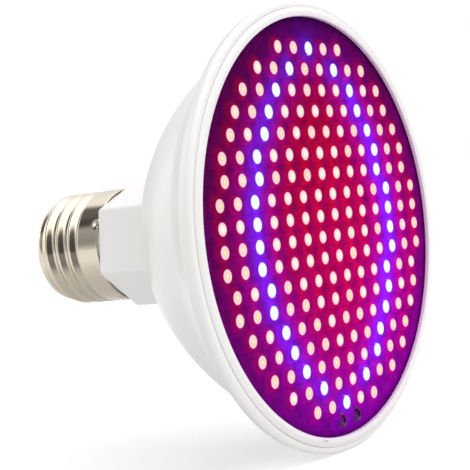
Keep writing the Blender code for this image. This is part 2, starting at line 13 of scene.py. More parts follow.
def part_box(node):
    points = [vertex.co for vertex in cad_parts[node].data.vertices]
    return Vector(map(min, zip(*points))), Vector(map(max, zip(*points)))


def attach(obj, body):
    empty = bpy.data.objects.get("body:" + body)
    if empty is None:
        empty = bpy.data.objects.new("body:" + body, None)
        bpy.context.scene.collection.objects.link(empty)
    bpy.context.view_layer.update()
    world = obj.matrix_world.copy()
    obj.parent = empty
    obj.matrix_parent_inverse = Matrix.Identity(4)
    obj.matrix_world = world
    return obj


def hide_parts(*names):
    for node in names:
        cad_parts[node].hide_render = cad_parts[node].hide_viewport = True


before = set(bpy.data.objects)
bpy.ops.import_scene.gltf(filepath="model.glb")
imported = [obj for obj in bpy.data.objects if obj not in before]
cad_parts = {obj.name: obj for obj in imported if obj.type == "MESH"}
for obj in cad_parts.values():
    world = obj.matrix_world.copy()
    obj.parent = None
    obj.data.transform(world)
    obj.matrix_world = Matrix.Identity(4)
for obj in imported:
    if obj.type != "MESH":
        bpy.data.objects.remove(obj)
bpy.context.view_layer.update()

# The picture: the lens and the place that fit the photograph, with plain colours.
# The lens is near enough that the far edge of the face comes out clearly smaller.
FRAME_PIXELS = 470
FOCAL_PIXELS = 1300
SENSOR_WIDTH = 36
CAMERA_PLACE = Vector((-0.2337, -0.2239, 0.0067))
CAMERA_RIGHT = Vector((0.5769, -0.8094, -0.1099))
CAMERA_UP = Vector((0.0832, -0.0756, 0.9937))

lens = bpy.data.cameras.new("camera")
lens.sensor_width = SENSOR_WIDTH
lens.lens = FOCAL_PIXELS / FRAME_PIXELS * SENSOR_WIDTH
lens.clip_start = 0.01
camera = bpy.data.objects.new("camera", lens)
bpy.context.scene.collection.objects.link(camera)
turn = Matrix((CAMERA_RIGHT, CAMERA_UP, CAMERA_RIGHT.cross(CAMERA_UP)))
turn = turn.transposed().to_4x4()
camera.matrix_world = Matrix.Translation(CAMERA_PLACE) @ turn
bpy.context.scene.camera = camera
bpy.context.scene.view_settings.view_transform = "Standard"


# Screw shell: thin brass, nickel plated and polished, with the round thread rolled
# into it and a plain skirt that four punch marks hold to the spigot. It is turned
# as a plain shell here, and thread and marks are then pressed into its wall.
class Maths:
    """A socket of a shader, used in Python expressions."""

    def __init__(self, tree, socket):
        self.tree = tree
        self.socket = socket

    def node(self, kind, settings, inputs, output=0):
        """A node of a type, from its settings and the values or links of its sockets."""
        made = self.tree.nodes.new(kind)
        for name, value in settings.items():
            if name == "stops":
                while len(made.color_ramp.elements) < len(value):
                    made.color_ramp.elements.new(0.5)
                for stop, (place, shade) in zip(made.color_ramp.elements, value):
                    stop.position = place
                    stop.color = shade
            else:
                setattr(made, name, value)
        for name, value in inputs.items():
            if isinstance(value, Maths):
                self.tree.links.new(value.socket, made.inputs[name])
            else:
                made.inputs[name].default_value = value
        return Maths(self.tree, made.outputs[output])

    def maths(self, operation, *values):
        """One Math node."""
        return self.node("ShaderNodeMath", {"operation": operation}, dict(enumerate(values)))

    def __add__(self, other):
        return self.maths("ADD", self, other)

    def __radd__(self, other):
        return self.maths("ADD", other, self)

    def __sub__(self, other):
        return self.maths("SUBTRACT", self, other)

    def __rsub__(self, other):
        return self.maths("SUBTRACT", other, self)

    def __mul__(self, other):
        return self.maths("MULTIPLY", self, other)

    def __rmul__(self, other):
        return self.maths("MULTIPLY", other, self)

    def __truediv__(self, other):
        return self.maths("DIVIDE", self, other)

    def __pow__(self, other):
        return self.maths("POWER", self, other)

    def step(self, start, end):
        """0 before start, 1 after end and smooth between them."""
        return self.node("ShaderNodeMapRange", {"interpolation_type": "SMOOTHSTEP"},
                         {"Value": self, "From Min": start, "From Max": end})

    def mix(self, first, second):
        """The first colour where this is 0, and the second where it is 1."""
        return self.node("ShaderNodeMix", {"data_type": "RGBA"}, {0: self, 6: first, 7: second}, 2)

    def noise(self, scale, detail=2.0):
        """A soft pattern on a place, with about so many waves in a metre."""
        values = {"Vector": self, "Scale": scale, "Detail": detail}
        return self.node("ShaderNodeTexNoise", {}, values)

    def axis(self, name):
        """One coordinate of a place."""
        return self.node("ShaderNodeSeparateXYZ", {}, {0: self}, name)

    def feed(self, shader, name):
        """Link this to a socket of a shader."""
        self.tree.links.new(self.socket, shader.inputs[name])

    def raise_surface(self, shader, distance):
        """Let this, from 0 to 1, raise the surface by up to a distance."""
        bump = self.node("ShaderNodeBump", {}, {"Height": self, "Distance": distance})
        bump.feed(shader, "Normal")


MERGE_GAP = 1e-7
CLOSE = 1e-6


def shade(red, green, blue):
    """A colour for a socket, from the 0 to 255 that a screen shows."""
    linear = []
    for value in (red, green, blue):
        share = value / 255
        linear.append(share / 12.92 if share <= 0.04045 else ((share + 0.055) / 1.055) ** 2.4)
    return (*linear, 1)


def finish(name, **values):
    """A Principled material, its shader and the place on the piece that its patterns read."""
    made = bpy.data.materials.new(name)
    made.use_nodes = True
    shader = made.node_tree.nodes["Principled BSDF"]
    for key, value in values.items():
        shader.inputs[key.replace("_", " ")].default_value = value
    coordinates = made.node_tree.nodes.new("ShaderNodeTexCoord")
    return made, shader, Maths(made.node_tree, coordinates.outputs["Object"])


def rounded(centre, radius, start, end, steps):
    """Points on an arc of an outline: 0 degrees points away from the axis, 90 to the cap."""
    points = []
    for step in range(steps + 1):
        angle = math.radians(start + (end - start) * step / steps)
        points.append((centre[0] + radius * math.cos(angle), centre[1] + radius * math.sin(angle)))
    return points


def straight(start, end, steps):
    """Points on a straight stretch of an outline, without its start."""
    points = []
    for step in range(1, steps + 1):
        points.append(tuple(a + (b - a) * step / steps for a, b in zip(start, end)))
    return points


def turned(outline, steps):
    """Turn an outline of (radius, place along Y) points about the lamp's axis: a closed shape."""
    shape = bmesh.new()
    points = [shape.verts.new((radius, along, 0)) for radius, along in outline]
    lines = [shape.edges.new(pair) for pair in zip(points, points[1:])]
    if outline[0][0] > 0:
        lines.append(shape.edges.new((points[-1], points[0])))
    bmesh.ops.spin(shape, geom=points + lines, cent=(0, 0, 0), axis=(0, 1, 0), angle=math.tau,
                   steps=steps, use_merge=True)
    bmesh.ops.remove_doubles(shape, verts=shape.verts, dist=MERGE_GAP)
    bmesh.ops.recalc_face_normals(shape, faces=shape.faces)
    return shape


def piece(name, shape, material, replaced=(), sharp=40):
    """A finished piece of the lamp, at the place that its mesh has."""
    mesh = bpy.data.meshes.new(name)
    shape.to_mesh(mesh)
    shape.free()
    mesh.shade_smooth()
    mesh.set_sharp_from_angle(angle=math.radians(sharp))
    mesh.materials.append(material)
    made = bpy.data.objects.new(name, mesh)
    bpy.context.scene.collection.objects.link(made)
    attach(made, "root")
    if replaced:
        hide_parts(*replaced)
    return made


CREST_RADIUS = 0.0131
THREAD_DEPTH = 0.00095
THREAD_PITCH = 0.00362
THREAD_TURNS = 3.6
THREAD_START = 0.0018
THREAD_RUNOUT = 0.0011
THREAD_SHIFT = 0.18
SHELL_WALL = 0.0004
CAP_END_HEIGHT = 0.0029
CAP_END_RADIUS = 0.0093
CAP_END_ROWS = 12
SKIRT_ROWS = 18
SHELL_STEPS = 192
ROWS_PER_TURN = 28
ROOT_RADIUS = CREST_RADIUS - THREAD_DEPTH
MARK_ANGLES = (26, 116, 206, 296)
MARK_INSET = 0.0006
MARK_RADIUS = 0.0008
MARK_DEPTH = 0.00036
NICKEL_ROUGHNESS = 0.10
NICKEL_HAZE = 0.10
HAZE_WAVES = 140
POLISH_WAVES = 700
POLISH_HEIGHT = 0.000012

shell_low, shell_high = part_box("screw_shell")
SHELL_TIP = shell_high.y
SHELL_EDGE = shell_low.y
THREAD_TIP = SHELL_TIP - CAP_END_HEIGHT
THREAD_END = THREAD_TIP - THREAD_TURNS * THREAD_PITCH


def thread_radius(angle, along):
    """Radius of the shell's outside: a right-hand round thread that runs out into the skirt."""
    turns = (along - THREAD_END) / THREAD_PITCH + angle / math.tau + THREAD_SHIFT
    wave = (1 - math.cos(math.tau * turns)) / 2
    runout = min(max((THREAD_END - along) / THREAD_RUNOUT + 1, 0), 1)
    start = min(max((THREAD_TIP - along) / THREAD_START, 0), 1)
    wave = wave + (1 - wave) * runout * runout * (3 - 2 * runout)
    return ROOT_RADIUS + THREAD_DEPTH * wave * start * start * (3 - 2 * start)


def mark_depth(angle, along):
    """How far the punch marks press the skirt in at a place."""
    depth = 0
    for degrees in MARK_ANGLES:
        apart = (angle - math.radians(degrees) + math.pi) % math.tau - math.pi
        gap = math.hypot(apart * CREST_RADIUS, along - SHELL_EDGE - MARK_INSET)
        depth += MARK_DEPTH * math.exp(-(gap / MARK_RADIUS) ** 2)
    return depth


shell_outline = []
for step in range(CAP_END_ROWS + 1):
    share = step / CAP_END_ROWS
    widening = (ROOT_RADIUS - CAP_END_RADIUS) * math.sin(share * math.pi / 2)
    shell_outline.append((CAP_END_RADIUS + widening, SHELL_TIP - CAP_END_HEIGHT * share))
edge_round = SHELL_WALL / 2
skirt_edge = SHELL_EDGE + edge_round
thread_rows = round(THREAD_TURNS * ROWS_PER_TURN)
shell_outline += straight((CREST_RADIUS, THREAD_TIP), (CREST_RADIUS, THREAD_END), thread_rows)
shell_outline += straight((CREST_RADIUS, THREAD_END), (CREST_RADIUS, skirt_edge), SKIRT_ROWS)
shell_outline += rounded((CREST_RADIUS - edge_round, skirt_edge), edge_round, -30, -180, 5)
shell_outline.append((CREST_RADIUS - SHELL_WALL, THREAD_END - 2 * SHELL_WALL))
shell_outline.append((ROOT_RADIUS - SHELL_WALL, THREAD_END - SHELL_WALL))
shell_outline.append((ROOT_RADIUS - SHELL_WALL, THREAD_TIP))
shell_outline.append((CAP_END_RADIUS - SHELL_WALL, SHELL_TIP - SHELL_WALL))
shell_shape = turned(shell_outline, SHELL_STEPS)
for vert in shell_shape.verts:
    radius = math.hypot(vert.co.x, vert.co.z)
    if abs(radius - CREST_RADIUS) < CLOSE:
        outer = thread_radius(math.atan2(vert.co.z, vert.co.x), vert.co.y)
        pressed = outer - mark_depth(math.atan2(vert.co.z, -vert.co.x), vert.co.y)
        vert.co.x *= pressed / radius
        vert.co.z *= pressed / radius

nickel, nickel_shader, place = finish("nickel", Base_Color=shade(212, 202, 185), Metallic=1.0)
(NICKEL_ROUGHNESS + NICKEL_HAZE * place.noise(HAZE_WAVES, 3)).feed(nickel_shader, "Roughness")
place.noise(POLISH_WAVES, 3).raise_surface(nickel_shader, POLISH_HEIGHT)
piece("rolled_screw_shell", shell_shape, nickel, ["screw_shell"])

# Cap insulator and centre contact: a black glass cone closes the shell's end round
# a pressed and nickel-plated contact button, whose tip the live lead is soldered to.
INSULATOR_ROUND = 0.0004
INSULATOR_TUCK = 0.0010
INSULATOR_NARROWING = 0.0006
INSULATOR_BORE_RADIUS = 0.0025
GLASS_WAVES = 260
GLASS_RIPPLE = 0.00004
BUTTON_ROUND = 0.0005
BUTTON_SLOPE = 0.0010
BUTTON_GAP = 0.0001
BUTTON_LIFT = 0.0003
STEM_RADIUS = 0.0022
GROOVE_RADIUS = 0.0021
GROOVE_HALF_WIDTH = 0.0004
GROOVE_DEPTH = 0.00018

glass_low, glass_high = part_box("cap_insulator")
GLASS_RADIUS = glass_high.x
contact_low, contact_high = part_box("centre_contact")
BUTTON_RADIUS = contact_high.x
BUTTON_FOOT = glass_high.y + BUTTON_LIFT

cone_top = (BUTTON_RADIUS + INSULATOR_ROUND, glass_high.y - INSULATOR_ROUND)
cone_foot = (GLASS_RADIUS - INSULATOR_ROUND / 2, SHELL_TIP + INSULATOR_ROUND)
hidden_radius = GLASS_RADIUS - INSULATOR_NARROWING
glass_outline = [(BUTTON_RADIUS + BUTTON_GAP, glass_high.y)]
glass_outline += rounded(cone_top, INSULATOR_ROUND, 90, 45, 4)
glass_outline += straight(glass_outline[-1], cone_foot, 4)
glass_outline += [(GLASS_RADIUS, SHELL_TIP + INSULATOR_ROUND / 2)]
glass_outline += [(hidden_radius, SHELL_TIP - INSULATOR_TUCK), (hidden_radius, glass_low.y)]
glass_outline += [(INSULATOR_BORE_RADIUS, glass_low.y), (INSULATOR_BORE_RADIUS, glass_high.y)]
glass, glass_shader, place = finish("black_glass", Base_Color=shade(16, 14, 20), Roughness=0.12,
                                    Coat_Weight=0.5)
place.noise(GLASS_WAVES, 2).raise_surface(glass_shader, GLASS_RIPPLE)
piece("glass_insulator", turned(glass_outline, 96), glass, ["cap_insulator"])

button_outline = [(0, 0), (GROOVE_RADIUS - GROOVE_HALF_WIDTH, 0), (GROOVE_RADIUS, -GROOVE_DEPTH)]
button_outline += [(GROOVE_RADIUS + GROOVE_HALF_WIDTH, 0)]
button_outline += [(BUTTON_RADIUS - BUTTON_SLOPE - BUTTON_ROUND, 0)]
button_outline += rounded((BUTTON_RADIUS - BUTTON_ROUND, -2 * BUTTON_ROUND), BUTTON_ROUND, 75, 0, 5)
button_outline += [(BUTTON_RADIUS, BUTTON_FOOT), (STEM_RADIUS, BUTTON_FOOT)]
button_outline += [(STEM_RADIUS, contact_low.y), (0, contact_low.y)]
piece("contact_button", turned(button_outline, 72), nickel, ["centre_contact"])

# Housing: one moulding in satin-gloss white plastic. A spigot inside the cap carries
# the screw shell, a hexagonal neck gives the hand a grip, and the bowl opens in an
# arc to the flared rim. The neck is turned round here, then pressed to six flats.
SHELL_GAP = 0.0003
SPIGOT_RADIUS = 0.01145
SPIGOT_LENGTH = 0.0150
SPIGOT_BORE_RADIUS = 0.0090
SHOULDER_RADIUS = 0.0124
SHOULDER_START = 0.0008
SHOULDER_END = 0.0014
NECK_LENGTH = 0.0165
NECK_FLAT_RADIUS = 0.0126
NECK_CORNER_ROUND = 0.0010
NECK_TURN = math.radians(-7)
NECK_EDGE_INSET = 0.00015
NECK_EDGE_ROUND = 0.00035
CREASE_START = 0.0008
CREASE_POINTS = ((0.00006, 0.00058), (0.00026, 0.0004))
NECK_BORE_RADIUS = 0.0099
BOWL_BACK_RADIUS = 0.0150
BOWL_MOUTH_RADIUS = 0.0404
BOWL_ARC_RADIUS = 0.052
BOWL_DEPTH = 0.0266
FLARE_DEPTH = 0.0077
RIM_RADIUS = 0.0475
RIM_ROUND = 0.0010
RIM_CHAMFER = 0.0004
RIM_SET_BACK = 0.0007
WALL = 0.0018
SEAT_RADIUS = 0.04605
SEAT_ROUND = 0.0001
LEDGE_RADIUS = 0.04255
LEDGE_GAP = 0.0003
HOUSING_STEPS = 240
PLASTIC_GLOSS_SPREAD = 0.10
PLASTIC_WAVES = 60
GLOSS_WAVES = 220
GRAIN_WAVES = 2600
GRAIN_HEIGHT = 0.000006

RIM_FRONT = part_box("front_ring")[0].y + RIM_SET_BACK
NECK_TIP = SHELL_EDGE - SHELL_GAP
BOWL_BACK = NECK_TIP - NECK_LENGTH
BOWL_MOUTH = BOWL_BACK - BOWL_DEPTH
RIM_BACK = BOWL_MOUTH - FLARE_DEPTH
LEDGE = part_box("led_board")[1].y + LEDGE_GAP


def bowl_arc(offset, steps):
    """The bowl's wall from its back to its mouth, moved inward by offset."""
    back = Vector((BOWL_BACK_RADIUS, BOWL_BACK))
    mouth = Vector((BOWL_MOUTH_RADIUS, BOWL_MOUTH))
    half = (mouth - back) / 2
    inward = Vector((half.y, -half.x)).normalized()
    centre = back + half + inward * math.sqrt(BOWL_ARC_RADIUS ** 2 - half.length_squared)
    first = math.degrees(math.atan2(*(back - centre).yx))
    last = math.degrees(math.atan2(*(mouth - centre).yx))
    return rounded(centre, BOWL_ARC_RADIUS - offset, first, last, steps)


def hexagon_radius(angle):
    """Distance from the axis to a hexagon with rounded corners, its first flat's middle at 0."""
    off_flat = (angle + math.pi / 6) % (math.pi / 3) - math.pi / 6
    off_corner = math.pi / 6 - abs(off_flat)
    reach = (NECK_FLAT_RADIUS - NECK_CORNER_ROUND) / math.cos(math.pi / 6)
    tangent = math.atan2(NECK_CORNER_ROUND / 2, reach + NECK_CORNER_ROUND * math.cos(math.pi / 6))
    if off_corner > tangent:
        return NECK_FLAT_RADIUS / math.cos(off_flat)
    sideways = reach * math.sin(off_corner)
    return reach * math.cos(off_corner) + math.sqrt(NECK_CORNER_ROUND ** 2 - sideways ** 2)


neck_edge_centre = (NECK_FLAT_RADIUS - NECK_EDGE_ROUND, NECK_TIP - NECK_EDGE_ROUND)
neck = [(NECK_FLAT_RADIUS - NECK_EDGE_INSET, NECK_TIP)]
neck += rounded(neck_edge_centre, NECK_EDGE_ROUND, 60, 0, 3)
neck += straight(neck[-1], (NECK_FLAT_RADIUS, BOWL_BACK + CREASE_START), 6)
crease = [(NECK_FLAT_RADIUS + outward, BOWL_BACK + along) for outward, along in CREASE_POINTS]
outline = neck + crease
neck_places = {round(along, 7): radius for radius, along in outline}
outline += bowl_arc(0, 40)
outline += straight(outline[-1], (RIM_RADIUS - RIM_CHAMFER, RIM_BACK + RIM_CHAMFER), 6)
outline += rounded((RIM_RADIUS - RIM_ROUND, RIM_FRONT + RIM_ROUND), RIM_ROUND, 30, -90, 12)
outline += rounded((SEAT_RADIUS + SEAT_ROUND, RIM_FRONT + SEAT_ROUND), SEAT_ROUND, -110, -180, 4)
outline += [(SEAT_RADIUS, LEDGE), (LEDGE_RADIUS, LEDGE), (LEDGE_RADIUS, LEDGE + WALL)]
outline += reversed(bowl_arc(WALL, 16)[1:])
outline += [(NECK_BORE_RADIUS, BOWL_BACK - WALL), (NECK_BORE_RADIUS, THREAD_END)]
outline += [(SPIGOT_BORE_RADIUS, THREAD_END), (SPIGOT_BORE_RADIUS, NECK_TIP + SPIGOT_LENGTH)]
outline += [(SPIGOT_RADIUS, NECK_TIP + SPIGOT_LENGTH), (SPIGOT_RADIUS, THREAD_END - SHOULDER_START)]
outline += [(SHOULDER_RADIUS, THREAD_END - SHOULDER_END), (SHOULDER_RADIUS, NECK_TIP)]
housing_shape = turned(outline, HOUSING_STEPS)
for vert in housing_shape.verts:
    radius = math.hypot(vert.co.x, vert.co.z)
    along = round(vert.co.y, 7)
    if along in neck_places and abs(radius - neck_places[along]) < CLOSE:
        angle = math.atan2(vert.co.z, vert.co.x)
        pressed = hexagon_radius(angle - NECK_TURN) + radius - NECK_FLAT_RADIUS
        vert.co.x *= pressed / radius
        vert.co.z *= pressed / radius


def moulded_white(name, roughness):
    """Satin-gloss white plastic with a faint grain; the piece feeds its colour."""
    made, shader, place = finish(name, Coat_Weight=0.25, Coat_Roughness=0.12)
    (roughness + PLASTIC_GLOSS_SPREAD * place.noise(GLOSS_WAVES, 3)).feed(shader, "Roughness")
    place.noise(GRAIN_WAVES, 2).raise_surface(shader, GRAIN_HEIGHT)
    return made, shader, place


white, white_shader, place = moulded_white("white_plastic", 0.27)
white_tone = place.noise(PLASTIC_WAVES, 3).mix(shade(240, 239, 237), shade(243, 242, 240))
white_tone.feed(white_shader, "Base Color")
piece("moulded_housing", housing_shape, white, ["housing"])

# Front ring: a bevelled ring moulded in the same plastic. It snaps over the edge of
# the light board, with a fine groove to the rim and a small notch to pry it off.
# The board's magenta light on its inner lip is painted into its colour.
RING_RADIUS = 0.04602
RING_ROUND = 0.00014
RING_BORE_RADIUS = 0.04515
LIP_RADIUS = 0.0441
LIP_THICKNESS = 0.0009
LIP_ROUND = 0.0003
LIP_LIGHT_WIDTH = 0.0008
FACE_WIDTH = 0.0009
FACE_ROUND = 0.0004
RING_BEVEL = 0.00055
RING_STEPS = 288
NOTCH_LENGTH = 0.0024
NOTCH_WIDTH = 0.00034
NOTCH_DEPTH = 0.0004
NOTCH_RADIUS = 0.0448
NOTCH_ANGLE = -104.5

ring_low, ring_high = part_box("front_ring")
FACE = ring_low.y
ring = [(RING_RADIUS, ring_high.y), (RING_RADIUS, FACE + RING_BEVEL + RING_ROUND)]
ring += rounded((RING_RADIUS - RING_ROUND, FACE + RING_BEVEL), RING_ROUND, 0, -50, 5)
ring += rounded((LIP_RADIUS + FACE_WIDTH, FACE + FACE_ROUND), FACE_ROUND, -62, -90, 3)
ring += rounded((LIP_RADIUS + LIP_ROUND, FACE + LIP_ROUND), LIP_ROUND, -90, -180, 6)
ring += [(LIP_RADIUS, FACE + LIP_THICKNESS), (RING_BORE_RADIUS, FACE + LIP_THICKNESS)]
ring += [(RING_BORE_RADIUS, ring_high.y)]
ring_shape = turned(ring, RING_STEPS)

ring_white, ring_shader, place = moulded_white("ring_plastic", 0.25)
from_axis = (place.axis("X") ** 2 + place.axis("Z") ** 2) ** 0.5
# Painted light: the board's magenta along the inner lip, fading out just outside it.
lip_board_light = 1 - from_axis.step(LIP_RADIUS, LIP_RADIUS + LIP_LIGHT_WIDTH)
lip_board_light.mix(shade(241, 240, 238), shade(242, 226, 244)).feed(ring_shader, "Base Color")
front_ring = piece("snap_ring", ring_shape, ring_white, ["front_ring"])
notch_shape = bmesh.new()
notch_turn = Matrix.Rotation(math.radians(-NOTCH_ANGLE), 4, "Y")
notch_place = notch_turn @ Matrix.Translation((NOTCH_RADIUS, FACE, 0))
bmesh.ops.create_cube(notch_shape, size=1, matrix=notch_place
                      @ Matrix.Diagonal((NOTCH_WIDTH, 2 * NOTCH_DEPTH, NOTCH_LENGTH, 1)))
notch_mesh = bpy.data.meshes.new("notch_cutter")
notch_shape.to_mesh(notch_mesh)
notch_shape.free()
notch_cutter = bpy.data.objects.new("notch_cutter", notch_mesh)
bpy.context.scene.collection.objects.link(notch_cutter)
cut = front_ring.modifiers.new("notch", "BOOLEAN")
cut.operation = "DIFFERENCE"
cut.solver = "EXACT"
cut.object = notch_cutter
bpy.context.view_layer.update()
cut_ring = front_ring.evaluated_get(bpy.context.evaluated_depsgraph_get())
cut_mesh = bpy.data.meshes.new_from_object(cut_ring)
front_ring.modifiers.clear()
front_ring.data = cut_mesh
bpy.data.objects.remove(notch_cutter)

# Light board: aluminium sheet with a white solder mask, which the packages light up violet
# at the edge, crimson in the middle and blue round the ring of blue ones. That light is
# painted into the mask as its glow, worked out for each point from the distance to every package.
BOARD_RADIUS = 0.04485
LED_HEIGHT = 0.0007
LED_LENGTH = 0.0035
LED_WIDTH = 0.0028
LED_FIELD_RADIUS = 0.03935
LED_PITCH = 0.00584
ROW_PITCH = 0.0044
ROW_SHIFT = 0.00028
BLUE_PLACE = 2
TRACE_GAP = 0.00022
BOARD_STEPS = 288
BOARD_RINGS = 76
SHADOW_RADIUS = 0.0428
NEAR_REACH = 0.0020
BLUE_REACH = 0.0030
WIDE_REACH = 0.0130
SIDE_FALL = 0.120
WIDE_CROWD = 20
BLUE_MOST = 1.2
RED_ALWAYS = 0.05
RED_LOW = 0.18
RED_WIDE = 0.27
RED_NEAR = 0.40
RED_BY_BLUE = 0.04
RED_FALL = 0.26
RED_LEAST = 0.02
GREEN_ALWAYS = 0.0008
GREEN_BY_RED = 0.0012
GREEN_BY_BLUE = 0.010
BLUE_ALWAYS = 0.08
BLUE_LOW = 0.20
BLUE_WIDE = 0.165
BLUE_NEAR = 0.54
BLUE_LOST_WIDE = 0.04
BLUE_LOST_NEAR = 0.06
BLUE_FALL = 0.20
BLUE_LEAST = 0.03
EDGE_SHADOW = 0.65
MOTTLE_WAVES = 520
MOTTLE_LOW = 0.35
MOTTLE_SPREAD = 1.30
TRACE_SHADOW = 0.14

# What glows burns out all mirrored light, so its surface has no gloss of its own.
LIT_SURFACE = {"Base_Color": shade(30, 4, 30), "Roughness": 0.35, "Specular_IOR_Level": 0.0,
               "Emission_Strength": 1.0}

board_low, board_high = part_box("led_board")
BOARD_FRONT = board_low.y + LED_HEIGHT

red_places = []
blue_places = []
row_count = 2 * int(LED_FIELD_RADIUS / ROW_PITCH + 0.5)
for row in range(row_count):
    z = ((row_count - 1) / 2 - row) * ROW_PITCH
    count = 1 + int(2 * math.sqrt(LED_FIELD_RADIUS ** 2 - z ** 2) / LED_PITCH)
    shift = ROW_SHIFT if count % 2 == 0 else -ROW_SHIFT
    for number in range(count):
        x = (number - (count - 1) / 2) * LED_PITCH + shift
        is_blue = BLUE_PLACE in (number, count - 1 - number)
        (blue_places if is_blue else red_places).append((x, z))


def light_at(x, z):
    """Colour of the mask at a point: near and wide light of the red and of the blue packages."""
    near_red = 0
    wide_red = 0
    for led_x, led_z in red_places:
        apart = (x - led_x) ** 2 + (z - led_z) ** 2
        near_red += math.exp(-(apart / NEAR_REACH ** 2) ** 1.5)
        wide_red += math.exp(-apart / WIDE_REACH ** 2)
    near_blue = 0
    wide_blue = 0
    for led_x, led_z in blue_places:
        apart = (x - led_x) ** 2 + (z - led_z) ** 2
        near_blue += math.exp(-apart / BLUE_REACH ** 2)
        wide_blue += math.exp(-apart / (2 * BLUE_REACH) ** 2)
    near_red = min(near_red, 1)
    wide_red = wide_red / WIDE_CROWD
    near_blue = min(near_blue, BLUE_MOST)
    under_lip = (math.hypot(x, z) - SHADOW_RADIUS) / (LIP_RADIUS - SHADOW_RADIUS)
    shadow = 1 - EDGE_SHADOW * min(max(under_lip, 0), 1)
    low = min(max(0.5 - z / BOARD_RADIUS / 2, 0), 1)
    red = RED_ALWAYS + RED_LOW * low ** 3 + RED_WIDE * wide_red ** 1.5 + RED_NEAR * near_red
    red += RED_BY_BLUE * near_blue
    green = GREEN_ALWAYS + GREEN_BY_RED * near_red + GREEN_BY_BLUE * near_blue
    blue = BLUE_ALWAYS + BLUE_LOW * low ** 2 + BLUE_WIDE * wide_blue + BLUE_NEAR * near_blue ** 1.5
    blue -= BLUE_LOST_WIDE * wide_red + BLUE_LOST_NEAR * near_red
    sideways = math.exp(x / SIDE_FALL)
    red *= sideways * (1 - RED_FALL * (z / BOARD_RADIUS) ** 2)
    blue *= sideways * (1 - BLUE_FALL * (1 - low) ** 2)
    return (max(red, RED_LEAST) * shadow, green * shadow, max(blue, BLUE_LEAST) * shadow, 1)


board_outline = [(0, BOARD_FRONT)]
board_outline += straight((0, BOARD_FRONT), (BOARD_RADIUS, BOARD_FRONT), BOARD_RINGS)
board_outline += [(BOARD_RADIUS, board_high.y), (0, board_high.y)]
board_shape = turned(board_outline, BOARD_STEPS)
glow = board_shape.verts.layers.float_color.new("glow")
for vert in board_shape.verts:
    vert[glow] = light_at(vert.co.x, vert.co.z)

mask, mask_shader, place = finish("lit_board", **LIT_SURFACE)
lit = place.node("ShaderNodeAttribute", {"attribute_name": "glow"}, {}, "Color")
flat_place = place.node("ShaderNodeCombineXYZ", {}, {0: place.axis("X"), 1: place.axis("Z")})
copper_gap = place.node("ShaderNodeTexBrick", {"offset": 0.5, "squash": 1.0}, {
    "Vector": flat_place, "Scale": 1.0, "Mortar Size": TRACE_GAP, "Mortar Smooth": 0.6,
    "Brick Width": LED_PITCH, "Row Height": ROW_PITCH}, "Fac")
mottle = MOTTLE_LOW + MOTTLE_SPREAD * place.noise(MOTTLE_WAVES, 5)
mottle = mottle * (1 - TRACE_SHADOW * copper_gap)
lit_mottled = place.node("ShaderNodeVectorMath", {"operation": "SCALE"}, {0: lit, "Scale": mottle})
lit_mottled.feed(mask_shader, "Emission Color")
piece("lit_board", board_shape, mask, ["led_board"], sharp=30)

# LED packages: a small white moulded body with a round lens in its face and a tinned
# terminal at either end, soldered to the board. Lit, the lens burns out to a pale spot
# with a tinted rim, and the body takes the colour of its light.
LENS_RADIUS = 0.00134
LENS_TOP_RADIUS = 0.00120
LENS_RISE = 0.00010
LENS_SIDES = 20
TERMINAL_LENGTH = 0.00025
TERMINAL_HEIGHT = 0.00030
TERMINAL_WIDTH = 0.0021
PACKAGE_ROUND = 0.00022
SPOT_REACH = 2.0
SPOT_FADE = 0.11
BURNT_SHARE = 0.9
BURNT_FROM = 0.4
BURNT_TO = 1.1
WARM_FROM = 0.45
WARM_TO = 0.85
WARMTH_SPREAD = 0.55
MILLIMETRE = 0.001

package = bmesh.new()
body_size = (LED_LENGTH - 2 * TERMINAL_LENGTH, LED_HEIGHT - LENS_RISE, LED_WIDTH)
body_middle = Matrix.Translation((0, -body_size[1] / 2, 0))
bmesh.ops.create_cube(package, size=1, matrix=body_middle @ Matrix.Diagonal((*body_size, 1)))
upright = [edge for edge in package.edges
           if abs(edge.verts[0].co.y - edge.verts[1].co.y) > LENS_RISE]
bmesh.ops.bevel(package, geom=upright, offset=PACKAGE_ROUND, offset_type="OFFSET", segments=1,
                profile=0.5, affect="EDGES", material=-1)
lens_place = Matrix.Translation((0, -body_size[1], 0)) @ Matrix.Rotation(math.radians(90), 4, "X")
bmesh.ops.create_cone(package, cap_ends=True, segments=LENS_SIDES, radius1=LENS_RADIUS,
                      radius2=LENS_TOP_RADIUS, depth=2 * LENS_RISE, matrix=lens_place)
for side in (1, -1):
    terminal_x = side * (LED_LENGTH - TERMINAL_LENGTH) / 2
    terminal_place = Matrix.Translation((terminal_x, -TERMINAL_HEIGHT / 2, 0))
    terminal_size = (TERMINAL_LENGTH, TERMINAL_HEIGHT, TERMINAL_WIDTH, 1)
    bmesh.ops.create_cube(package, size=1, matrix=terminal_place @ Matrix.Diagonal(terminal_size))
package_mesh = bpy.data.meshes.new("package")
package.to_mesh(package_mesh)
package.free()


